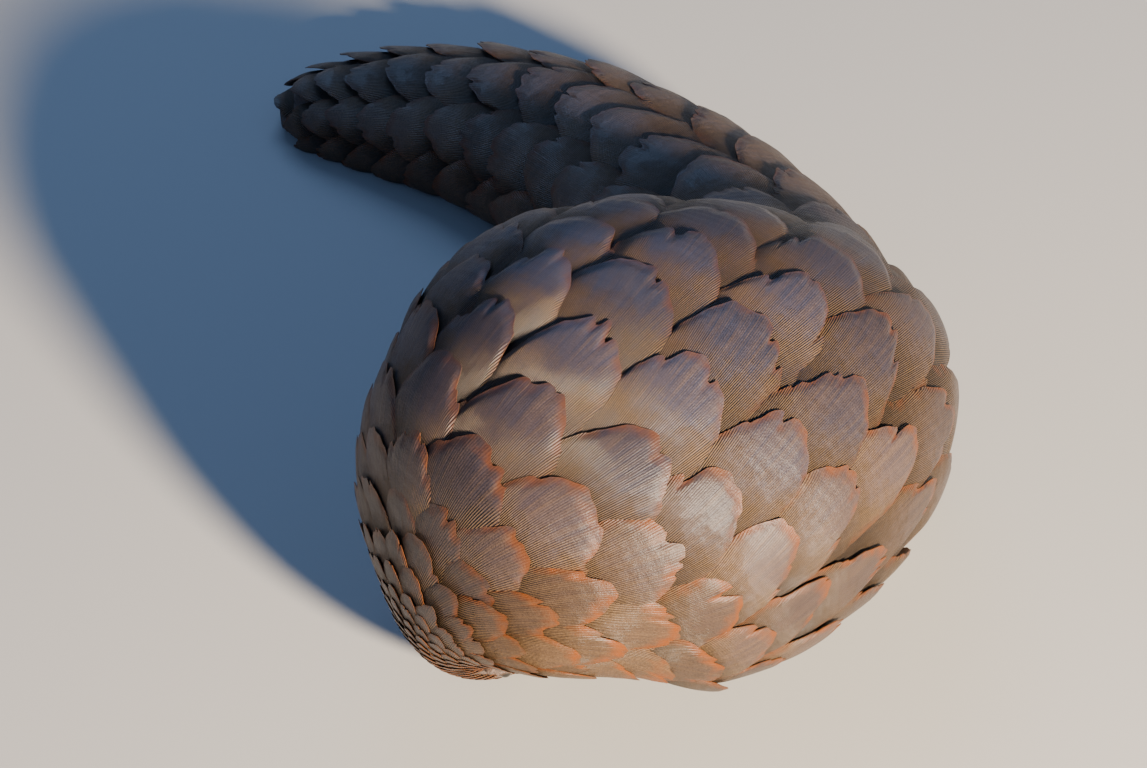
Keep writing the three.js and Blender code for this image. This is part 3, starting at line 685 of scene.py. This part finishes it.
def plates(name, surface, places, columns, rows):
    # many scales as one mesh, each a thin curved plate
    form = plateForm
    draw = np.random.RandomState(len(places) * 7 + columns)
    count = len(places)
    long, wide, yaw, lie = (valuesOf(places, key) for key in ("long", "wide", "yaw", "lie"))
    t = (1 - (1 - np.linspace(0, 1, rows + 1)) ** 1.35)[None, :, None]
    q = np.linspace(-1, 1, columns + 1)[None, None, :]
    edge, wave = plateOutline(places, draw, q)
    x = long * edge * t
    share = x / long
    y = q * wide / 2 * (form["rootWidth"] + (1 - form["rootWidth"]) * ease(share, 0, form["fullAt"]))
    ahead, aside = x * np.cos(yaw) - y * np.sin(yaw), x * np.sin(yaw) + y * np.cos(yaw)
    along = ahead / long
    root, rootAngle = valuesOf(places, "root"), valuesOf(places, "rootAngle")
    station = (root + along * (valuesOf(places, "tip") - root)
               - aside * np.sin(lie) / valuesOf(places, "stretch"))
    angle = (rootAngle + along * (valuesOf(places, "tipAngle") - rootAngle)
             + aside * np.cos(lie) / valuesOf(places, "turn"))
    fromSide = wide / 2 * (1 - np.abs(q)) + 30 * (1 - ease(share, 0.15, 0.45))
    fromEdge = np.minimum(long * edge * (1 - t), fromSide)
    thick = np.maximum(form["thick"] * wide, form["leastThick"])
    atEdge = form["edgeThick"] * np.minimum(1, wide / 20)
    slim = ease(fromEdge / (form["edgeZone"] * wide))
    depth = atEdge + (thick - atEdge) * slim
    high = (-form["sunk"] * np.minimum(1, wide / 30) + valuesOf(places, "tilt") * x
            + form["dome"] * wide * (1 - q ** 2) * ease(share, 0.1, 0.7)
            + 0.25 * np.sin(share * 9 + wave[..., 0]) * (wide / 60)
            - 0.45 * thick * (1 - slim))
    points = np.stack([surface(station, angle, high + depth * 0.5),
                       surface(station, angle, high - depth * 0.5)], axis=1)  # scale, face, row, column
    one, middleFace = plateFaces(rows, columns)
    middle = station[0, rows // 2, columns // 2], angle[0, rows // 2, columns // 2]
    outward = surface(*middle, 1.0) - surface(*middle, 0.0)
    flat = points.reshape(-1, 3)
    first = flat[one[middleFace]]
    if np.dot(np.cross(first[1] - first[0], first[3] - first[0]), outward) < 0:
        one = one[:, ::-1]
    each = 2 * (rows + 1) * (columns + 1)
    faces = (one[None] + (np.arange(count) * each)[:, None, None]).reshape(-1, 4)
    flat[:, 2] = np.maximum(flat[:, 2], 0.3)
    piece = newObject(name, flat, faces, sharp=form["sharp"])
    fan = y / (0.7 + 0.5 * share)  # the ribs spread a little from the root
    grain = fan + 97 * valuesOf(places, "luck"), x + 61 * valuesOf(places, "luckTwo")
    markPlates(piece.data, places, q, fromEdge, share, grain)
    return piece


def bodyOnMap(place):
    # the body's own skin laid flat: round it across, from nose to tail up the page
    return 0.5 + place["rootAngle"] / tau * 0.9, 0.02 + 0.76 * place["root"] / bodyLine["length"]


def legOnMap(place, k):
    # the four legs laid flat side by side above the body
    return 0.125 + 0.25 * k + place["rootAngle"] / tau * 0.2, 0.81 + 0.17 * place["root"]


def paintedSunlitShare(place):
    # painted light: browner low on the flanks and at the front, as if in warm sunlight, and bluer grey on
    # top of the back, as if in skylight shade
    low = ease(abs(math.degrees(place["tipAngle"])), 25, 95)
    front = 1 - ease(place["tip"], 110, 230)
    return float(np.clip(0.15 + 0.55 * low + 0.45 * front, 0, 1))


# The coat is cut into pieces at these stations; each begins where the one before it ends
coatPieces = {
    "crownScales": 92,
    "napeScales": 117,
    "neckScales": 140,
    "shoulderScales": 215,
    "backScales": 300,
    "rumpScales": 420,
    "tailScales": 640,
    "tailEndScales": math.inf,
}
coatGrid = {
    "columnSize": 1.5,  # millimetres for the widest scale of a piece
    "columns": (10, 44),  # least and most
    "rowSize": 2.9,
    "rows": (7, 22),
    "tan": (420, 520),  # stations over which the tail's tan comes in
}
legScales = {
    "from": 0.1,  # shares of the way down the leg
    "to": 0.84,
    "step": 6.5,
    "pitch": 8.5,
    "long": 19,
    "wide": 13.5,
    "first": math.radians(-25),  # from the front edge round the outer side to the heel
    "last": math.radians(190),
    "smaller": 0.35,  # towards the foot
    "varies": 0.08,
    "yaw": 6,
    "rounding": 1.9,
    "tilt": 0.15,
    # a fixed share of painted sunlight against painted shade for the leg scales
    "paintedSunlit": 0.6,
    "tan": 0.4,
    "columns": 12,
    "rows": 8,
    "seed": 23,
}


def legScalePlaces(shape):
    form = legScales
    draw = np.random.RandomState(form["seed"])
    places = []
    t, ring = form["from"], 0
    while t < form["to"]:
        reach = float(np.linalg.norm(shape.curve(t + 0.01) - shape.curve(t - 0.01))) / 0.02
        radius = 0.5 * (float(shape.wide(t)) + float(shape.tall(t)))
        step = form["pitch"] / radius
        size = 1 - form["smaller"] * float(ease(t, 0.3, 0.75))
        angle = form["first"] + step * (ring % 2)
        while angle < form["last"]:
            luck = draw.uniform(-1, 1, 8)
            long = form["long"] * size * (1 + form["varies"] * luck[0])
            wide = form["wide"] * size * (1 + form["varies"] * luck[1])
            places.append({
                "root": t - long / reach, "tip": t, "rootAngle": angle, "tipAngle": angle, "long": long,
                "wide": wide, "turn": radius, "stretch": reach, "lie": 0, "tilt": form["tilt"],
                "paintedSunlit": form["paintedSunlit"], "tail": form["tan"],
                **chanceShape(luck, form["yaw"], form["rounding"]),
            })
            angle += 2 * step
        t += form["step"] * size / reach
        ring += 1
    return places


def makeLegScales():
    made = []
    for k, ((limb, sideName), shape) in enumerate(legShapes.items()):
        places = legScalePlaces(shape)
        for p in places:
            p["onMap"] = legOnMap(p, k)
        name = limb + "_" + sideName + "_scales"
        made.append(plates(name, shape.point, places, legScales["columns"], legScales["rows"]))
        print("scales:", name, len(places))
    return made


def makeBodyScales():
    places = bodyScalePlaces()
    for p in places:
        # each scale's share of painted sunlight against painted shade
        p["paintedSunlit"] = paintedSunlitShare(p)
        p["tail"] = float(ease(p["tip"], *coatGrid["tan"]))
        p["onMap"] = bodyOnMap(p)
    made = []
    start = 0
    for name, end in coatPieces.items():
        group = [p for p in places if start <= p["tip"] < end]
        widest = max(p["wide"] for p in group)
        columns = int(np.clip(widest / coatGrid["columnSize"], *coatGrid["columns"]))
        rows = int(np.clip(widest / coatGrid["rowSize"], *coatGrid["rows"]))
        made.append(plates(name, bodyPoint, group, columns, rows))
        print("scales:", name, len(group), "of", columns, "by", rows)
        start = end
    return made


# Helpers for the materials' node trees
def newMaterial(name):
    material = bpy.data.materials.new(name)
    material.use_nodes = True
    tree = material.node_tree
    shader = tree.nodes["Principled BSDF"]
    return material, tree, shader


def node(tree, kind, settings=None, **inputs):
    made = tree.nodes.new(kind)
    for key, setting in (settings or {}).items():
        setattr(made, key, setting)
    for key, given in inputs.items():
        # i0, i1 and so on are sockets by number, and other keys are sockets by name
        socket = made.inputs[int(key[1:]) if key[1:].isdigit() else key.replace("_", " ")]
        if isinstance(given, bpy.types.NodeSocket):
            tree.links.new(given, socket)
        else:
            socket.default_value = given
    return made


def opaque(shade):
    return (*shade, 1) if isinstance(shade, tuple) else shade


def ramp(tree, value, stops):
    made = node(tree, "ShaderNodeValToRGB", Fac=value)
    band = made.color_ramp
    while len(band.elements) < len(stops):
        band.elements.new(0.5)
    for element, (place, shade) in zip(band.elements, stops):
        element.position = place
        element.color = opaque(shade if isinstance(shade, tuple) else (shade,) * 3)
    return made.outputs["Color"]


def mixed(tree, amount, first, second, blend="MIX"):
    settings = {"data_type": "RGBA", "blend_type": blend}
    return node(tree, "ShaderNodeMix", settings, i0=amount, i6=opaque(first), i7=opaque(second)).outputs[2]


def maths(tree, operation, first, second=0.0, clamp=False):
    settings = {"operation": operation, "use_clamp": clamp}
    return node(tree, "ShaderNodeMath", settings, i0=first, i1=second).outputs[0]


def attribute(tree, name):
    return node(tree, "ShaderNodeAttribute", {"attribute_name": name}).outputs["Vector"]


def roughen(tree, shader, relief, strength, distance):
    bump = node(tree, "ShaderNodeBump", Height=relief, Strength=strength, Distance=distance)
    tree.links.new(bump.outputs["Normal"], shader.inputs["Normal"])


hornLooks = {
    # worn horn in painted skylight shade, blue-grey, and in painted warm sunlight, brown
    "worn": (0.02, 0.027, 0.052),
    "wornSunlit": (0.055, 0.03, 0.016),
    "rib": (0.16, 0.09, 0.036),
    "groove": (0.009, 0.007, 0.007),
    "tail": (0.12, 0.074, 0.039),
    "tailShare": 0.6,
    "rimSunlit": (0.13, 0.032, 0.002),  # orange, as painted sunlight low in front
    "rimShaded": (0.07, 0.027, 0.014),  # reddish brown, as painted shade on the back
    "lip": (0.15, 0.052, 0.012),
    "lipWide": 0.035,
    "lipShare": 0.25,
    "wornFrom": (0.68, 0.96),  # shares of the length
    "ribSpacing": 1.0,  # millimetres between the fine ribs
    "ribShare": 0.92,
    "streakShare": 0.22,
    "lightness": (0.4, 0.7, 0.45),  # from scale to scale, from cloud to cloud, and the least
    "roughness": 0.26,
    "reflection": 0.3,
    "relief": (0.8, 0.0009),
}


def hornMaterial():
    looks = hornLooks
    material, tree, shader = newMaterial("scaleHorn")

    def times(first, second):
        return maths(tree, "MULTIPLY", first, second)

    def plus(first, second, clamp=False):
        return maths(tree, "ADD", first, second, clamp)

    def fading(value, reach):
        # from 1 where value is 0 down to 0 where it is reach
        return maths(tree, "SUBTRACT", 1.0, maths(tree, "DIVIDE", value, reach), True)

    def noise(scale, detail=4.0, roughness=0.6, place=None):
        return node(tree, "ShaderNodeTexNoise", Vector=place or grain, Scale=scale, Detail=detail,
                    Roughness=roughness).outputs["Fac"]

    def stretch(across, along):
        return node(tree, "ShaderNodeMapping", Vector=grain, Scale=(across, along, 1.0)).outputs["Vector"]

    def tinted(base, shade):
        return mixed(tree, 1.0, base, shade, "MULTIPLY")
    fromEdge, along, luck = node(tree, "ShaderNodeSeparateXYZ", Vector=attribute(tree, "mark")).outputs
    # the share of painted sunlight against painted shade, how far off the middle, and the tail's tan
    paintedSunlit, offMiddle, tail = node(tree, "ShaderNodeSeparateXYZ", Vector=attribute(tree, "tone")).outputs
    grain = node(tree, "ShaderNodeUVMap", {"uv_map": "grain"}).outputs["UV"]
    mottle = noise(0.07)
    cloud = noise(0.16, 5.0, 0.7)
    # worn smooth over the middle of the tip, ribbed at the root and the sides
    sides = times(times(offMiddle, offMiddle), 0.3)
    where = maths(tree, "SUBTRACT", plus(along, times(cloud, 0.5)), sides)
    worn = ramp(tree, where, [(looks["wornFrom"][0], 0.0), (looks["wornFrom"][1], 1.0)])
    # the fine ribs run from root to tip
    ribs = node(tree, "ShaderNodeTexWave", {"wave_type": "BANDS", "bands_direction": "X"},
                Vector=stretch(1.0, 0.045), Scale=0.314 / looks["ribSpacing"], Distortion=2.0, Detail=2.0,
                Detail_Scale=1.2, Detail_Roughness=0.6).outputs["Fac"]
    streak = noise(1.0, 5.0, 0.65, stretch(0.5, 0.02))
    patches = ramp(tree, mottle, [(0.3, 0.55), (0.6, 1.0)])
    ribbing = times(ramp(tree, worn, [(0.0, 1.0), (1.0, 0.12)]), patches)
    ribColour = mixed(tree, ramp(tree, ribs, [(0.26, 0.0), (0.72, 1.0)]), looks["groove"], looks["rib"])
    # painted light: the worn horn goes from blue-grey painted shade on top of the back to brown painted
    # sunlight low and in front
    plain = mixed(tree, paintedSunlit, looks["worn"], looks["wornSunlit"])
    streaks = times(ramp(tree, streak, [(0.42, 0.0), (0.66, 1.0)]), looks["streakShare"])
    plain = mixed(tree, streaks, plain, looks["rib"])
    base = mixed(tree, times(ribbing, looks["ribShare"]), plain, ribColour)
    base = mixed(tree, times(tail, looks["tailShare"]), base, looks["tail"])
    # lighter and darker scales, darker at the root, cloudy
    speckle = ramp(tree, noise(1.1, 5.0, 0.75), [(0.36, 0.62), (0.6, 1.2)])
    byScale, byCloud, least = looks["lightness"]
    lightness = times(plus(plus(times(luck, byScale), times(cloud, byCloud)), least), speckle)
    shade = node(tree, "ShaderNodeCombineColor", Red=lightness, Green=lightness, Blue=lightness)
    base = tinted(base, shade.outputs[0])
    base = tinted(base, ramp(tree, along, [(0.3, 0.45), (0.6, 1.0)]))
    # orange-brown rim along the free edge, brightest at its lip; with painted light it is wider, stronger
    # and orange where painted sunlight falls low in front, and reddish brown in painted shade on the back
    ragged = plus(times(noise(0.3, 3.0), 0.5), plus(times(paintedSunlit, 0.4), 0.02))
    nearEdge = ramp(tree, fading(fromEdge, ragged), [(0.0, 0.0), (0.8, 1.0)])
    patchy = ramp(tree, noise(0.09, 2.0), [(0.38, 0.1), (0.58, 1.0)])
    rimShare = times(times(nearEdge, patchy), plus(times(paintedSunlit, 0.5), 0.5, True))
    base = mixed(tree, rimShare, base, mixed(tree, paintedSunlit, looks["rimShaded"], looks["rimSunlit"]))
    base = mixed(tree, times(fading(fromEdge, looks["lipWide"]), looks["lipShare"]), base, looks["lip"])
    tree.links.new(base, shader.inputs["Base Color"])
    rough = plus(plus(times(mottle, 0.2), times(ribbing, 0.16)), looks["roughness"])
    tree.links.new(rough, shader.inputs["Roughness"])
    shader.inputs["Specular IOR Level"].default_value = looks["reflection"]
    # relief: ribs, faint growth lines across, pits and scratches
    growth = node(tree, "ShaderNodeTexWave", {"wave_type": "BANDS", "bands_direction": "Y"}, Vector=grain,
                  Scale=0.05, Distortion=3.5, Detail=2.0, Detail_Scale=0.5).outputs["Fac"]
    pits = plus(times(noise(0.9, 4.0, 0.7), 0.4), times(streak, 0.5))
    roughen(tree, shader, plus(plus(times(ribs, ribbing), times(growth, 0.12)), pits), *looks["relief"])
    return material


skinLooks = {
    "pale": (0.14, 0.093, 0.07),
    "dark": (0.06, 0.039, 0.03),
    "roughness": 0.62,
    "depth": 0.08,
    "depthReach": (0.004, 0.0016, 0.0009),
    "relief": (0.6, 0.0005),
}


def skinMaterial():
    looks = skinLooks
    material, tree, shader = newMaterial("bareSkin")
    place = node(tree, "ShaderNodeTexCoord").outputs["Object"]
    blotch = node(tree, "ShaderNodeTexNoise", Vector=place, Scale=35.0, Detail=4.0,
                  Roughness=0.6).outputs["Fac"]
    cells = node(tree, "ShaderNodeTexVoronoi", {"feature": "DISTANCE_TO_EDGE"}, Vector=place,
                 Scale=420.0).outputs["Distance"]
    fine = node(tree, "ShaderNodeTexNoise", Vector=place, Scale=900.0, Detail=3.0).outputs["Fac"]
    base = mixed(tree, ramp(tree, blotch, [(0.3, 0.0), (0.7, 1.0)]), looks["dark"], looks["pale"])
    crease = ramp(tree, cells, [(0.0, 1.0), (0.12, 0.0)])
    base = mixed(tree, maths(tree, "MULTIPLY", crease, 0.4), base, looks["dark"])
    tree.links.new(base, shader.inputs["Base Color"])
    shader.inputs["Roughness"].default_value = looks["roughness"]
    shader.inputs["Subsurface Weight"].default_value = looks["depth"]
    shader.inputs["Subsurface Radius"].default_value = looks["depthReach"]
    relief = maths(tree, "SUBTRACT", maths(tree, "MULTIPLY", fine, 0.4), crease)
    roughen(tree, shader, relief, *looks["relief"])
    return material


clawLooks = {
    "along": [(0.0, (0.17, 0.11, 0.075)), (0.45, (0.36, 0.26, 0.17)), (1.0, (0.55, 0.45, 0.33))],
    "streak": (0.16, 0.1, 0.07),
    "roughness": 0.4,
    "relief": (0.35, 0.0004),
}


def clawMaterial():
    looks = clawLooks
    material, tree, shader = newMaterial("clawHorn")
    marks = node(tree, "ShaderNodeSeparateXYZ", Vector=attribute(tree, "mark")).outputs
    place = node(tree, "ShaderNodeTexCoord").outputs["Object"]
    streak = node(tree, "ShaderNodeTexNoise", Vector=place, Scale=260.0, Detail=4.0).outputs["Fac"]
    streaks = maths(tree, "MULTIPLY", ramp(tree, streak, [(0.4, 0.0), (0.7, 1.0)]), 0.5)
    base = mixed(tree, streaks, ramp(tree, marks[0], looks["along"]), looks["streak"])
    tree.links.new(base, shader.inputs["Base Color"])
    shader.inputs["Roughness"].default_value = looks["roughness"]
    roughen(tree, shader, streak, *looks["relief"])
    return material


eyeLooks = {
    "outwards": [(0.0, (0.004, 0.003, 0.003)), (0.34, (0.006, 0.004, 0.003)), (0.4, (0.05, 0.026, 0.014)),
                 (0.72, (0.03, 0.016, 0.01)), (0.8, (0.02, 0.014, 0.012)), (1.0, (0.12, 0.08, 0.07))],
    "roughness": 0.08,
    "wet": (1.0, 0.03),
    "bulge": (0.06, 0.5),  # how far the clear front stands out, and how wide it is
    "size": 0.985,
    "rings": 28,
    "sides": 40,
}


def eyeMaterial():
    looks = eyeLooks
    material, tree, shader = newMaterial("wetEye")
    marks = node(tree, "ShaderNodeSeparateXYZ", Vector=attribute(tree, "mark")).outputs
    tree.links.new(ramp(tree, marks[0], looks["outwards"]), shader.inputs["Base Color"])
    shader.inputs["Roughness"].default_value = looks["roughness"]
    shader.inputs["Coat Weight"].default_value = looks["wet"][0]
    shader.inputs["Coat Roughness"].default_value = looks["wet"][1]
    return material


def finishPiece(name, points, marks, finish, replaced):
    # a small closed piece, its marks telling the finish where each point lies
    piece = newObject(name, points, tubeFaces(len(points), points.shape[1]))
    outwards(piece)
    marks = np.stack([marks, 0 * marks, 0 * marks], -1)
    piece.data.attributes.new("mark", "FLOAT_VECTOR", "POINT").data.foreach_set("vector", marks.ravel())
    piece.data.materials.append(finish)
    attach(piece, "root")
    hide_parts(replaced)


def makeEye(sideName, side, finish):
    eye = face["eye"]
    angle = side * math.radians(eye["angle"])
    out, back = faceAxes(eye["station"], angle)
    back = unit(np.cross(np.cross(out, back), out))
    across = np.cross(out, back)
    centre = bodyPoint(eye["station"], angle, -eye["sunk"])
    rings, sides = eyeLooks["rings"], eyeLooks["sides"]
    tilt = np.linspace(0.02, math.pi - 0.02, rings)[:, None]
    turn = np.linspace(0, tau, sides, endpoint=False)[None, :]
    high, width = eyeLooks["bulge"]
    r = eye["radius"] * eyeLooks["size"] * (1 + high * np.exp(-(tilt / width) ** 2))
    points = (centre + out * (r * np.cos(tilt) * np.ones_like(turn))[..., None]
              + back * (r * np.sin(tilt) * np.cos(turn))[..., None]
              + across * (r * np.sin(tilt) * np.sin(turn))[..., None])
    marks = np.repeat(tilt / 1.5, sides, axis=1)
    finishPiece("eye_" + sideName + "_ball", points, marks, finish, "eye_" + sideName)


clawForm = {
    "rings": 26,
    "sides": 18,
    "flatBelow": 0.72,
    "narrow": 0.8,
    "sunk": 1.2,  # the root lies this far inside the toe
    "taper": 0.75,
    "tip": 0.07,  # what is left of its thickness at the tip
}


def clawPoints(toe, long, curl):
    # bends down as it runs out, narrowing to a worn point
    form = clawForm
    rows = []
    centre = toe["end"] - toe["along"] * form["sunk"]
    around = np.linspace(0, tau, form["sides"], endpoint=False)
    up = np.cos(around)
    tall = np.where(up > 0, up, up * form["flatBelow"])
    whole = long + form["sunk"]
    last = 0.0
    shares = np.arange(form["rings"]) / (form["rings"] - 1)
    for t in shares:
        middle = math.radians(curl) * (t + last) / 2
        centre = centre + toe["along"] * (t - last) * whole * math.cos(middle)
        centre = centre - np.array([0, 0, (t - last) * whole * math.sin(middle)])
        drop = math.radians(curl) * t
        along = toe["along"] * math.cos(drop) - np.array([0, 0, math.sin(drop)])
        over = unit(np.cross(toe["across"], along))
        thick = toe["size"] * ((1 - t) ** form["taper"] * 0.94 + form["tip"])
        rows.append(centre + np.outer(np.sin(around), toe["across"]) * form["narrow"] * thick
                    + np.outer(tall, over) * thick)
        last = t
    return np.array(rows), np.repeat(shares[:, None], form["sides"], axis=1)


def makeClaws(finish):
    for (limb, sideName), shape in legShapes.items():
        for i, toe in enumerate(shape.toePlaces()):
            points, marks = clawPoints(toe, shape.leg["clawLengths"][i], shape.leg["clawCurl"])
            points[..., 2] = np.maximum(points[..., 2], 0.0)
            name = limb + "_" + sideName + "_claw_" + str(i + 1)
            finishPiece(name + "_horn", points, marks, finish, name)


cameraView = {
    "place": (-13.7, -2018.0, 1903.6),
    "elevation": 43,  # degrees that it looks down
    "lens": 155.05,
    "sensor": 36,
    "nearest": 0.05,
}
# Each light: its place and what it is turned to, in metres, its width, power and colour
studioLights = {
    "key": ((1.45, -2.4, 1.15), (0, -0.1, 0.08), 0.4, 560, (1.0, 0.85, 0.66)),
    "side": ((-2.0, -0.4, 1.6), (0, 0, 0.1), 1.6, 7, (0.3, 0.5, 1.0)),
    "back": ((-0.3, 2.0, 1.9), (0, 0, 0.1), 1.6, 26, (0.35, 0.56, 1.0)),
}
studioLooks = {
    "floor": (0.42, 0.405, 0.38),
    "floorRoughness": 0.85,
    "floorReach": 6.0,
    "sky": (0.26, 0.48, 1.0),
    "skyStrength": 0.22,
}


def makeCamera():
    data = bpy.data.cameras.new("camera")
    data.sensor_width = cameraView["sensor"]
    data.lens = cameraView["lens"]
    data.clip_start = cameraView["nearest"]
    camera = bpy.data.objects.new("camera", data)
    camera.location = Vector(cameraView["place"]) * metre
    camera.rotation_euler = (math.radians(90 - cameraView["elevation"]), 0, 0)
    bpy.context.scene.collection.objects.link(camera)
    bpy.context.scene.camera = camera


def areaLight(name, place, aim, size, power, shade):
    data = bpy.data.lights.new(name, "AREA")
    data.shape = "DISK"
    data.size = size
    data.energy = power
    data.color = shade
    light = bpy.data.objects.new(name, data)
    light.location = place
    light.rotation_euler = (Vector(aim) - Vector(place)).to_track_quat("-Z", "Y").to_euler()
    bpy.context.scene.collection.objects.link(light)


def makeStudio():
    looks = studioLooks
    size = looks["floorReach"]
    corners = np.array([[-size, -size, 0], [size, -size, 0], [size, size, 0], [-size, size, 0]])
    floor = newObject("floor", corners / metre, [(0, 1, 2, 3)], smooth=False)
    material, tree, shader = newMaterial("paleFloor")
    shader.inputs["Base Color"].default_value = opaque(looks["floor"])
    shader.inputs["Roughness"].default_value = looks["floorRoughness"]
    floor.data.materials.append(material)
    for name, settings in studioLights.items():
        areaLight(name, *settings)
    world = bpy.data.worlds.new("studio")
    world.use_nodes = True
    background = world.node_tree.nodes["Background"]
    background.inputs["Color"].default_value = opaque(looks["sky"])
    background.inputs["Strength"].default_value = looks["skyStrength"]
    bpy.context.scene.world = world


makeCamera()
makeStudio()
print("camera and studio done")

horn = hornMaterial()
bare = skinMaterial()
skin = makeSkin()
skin.data.materials.clear()
skin.data.materials.append(bare)
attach(skin, "root")
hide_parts("head", "neck", "torso", "tail_base", "tail_middle", "tail_rear", "tail_end",
            "ear_left", "ear_right", "foreleg_left", "foreleg_right", "hindleg_left", "hindleg_right")
print("skin done:", len(skin.data.polygons), "faces")

for piece in makeBodyScales() + makeLegScales():
    piece.data.materials.append(horn)
    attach(piece, "root")
print("scales done")

wet = eyeMaterial()
makeEye("left", 1, wet)
makeEye("right", -1, wet)
makeClaws(clawMaterial())
print("eyes and claws done")
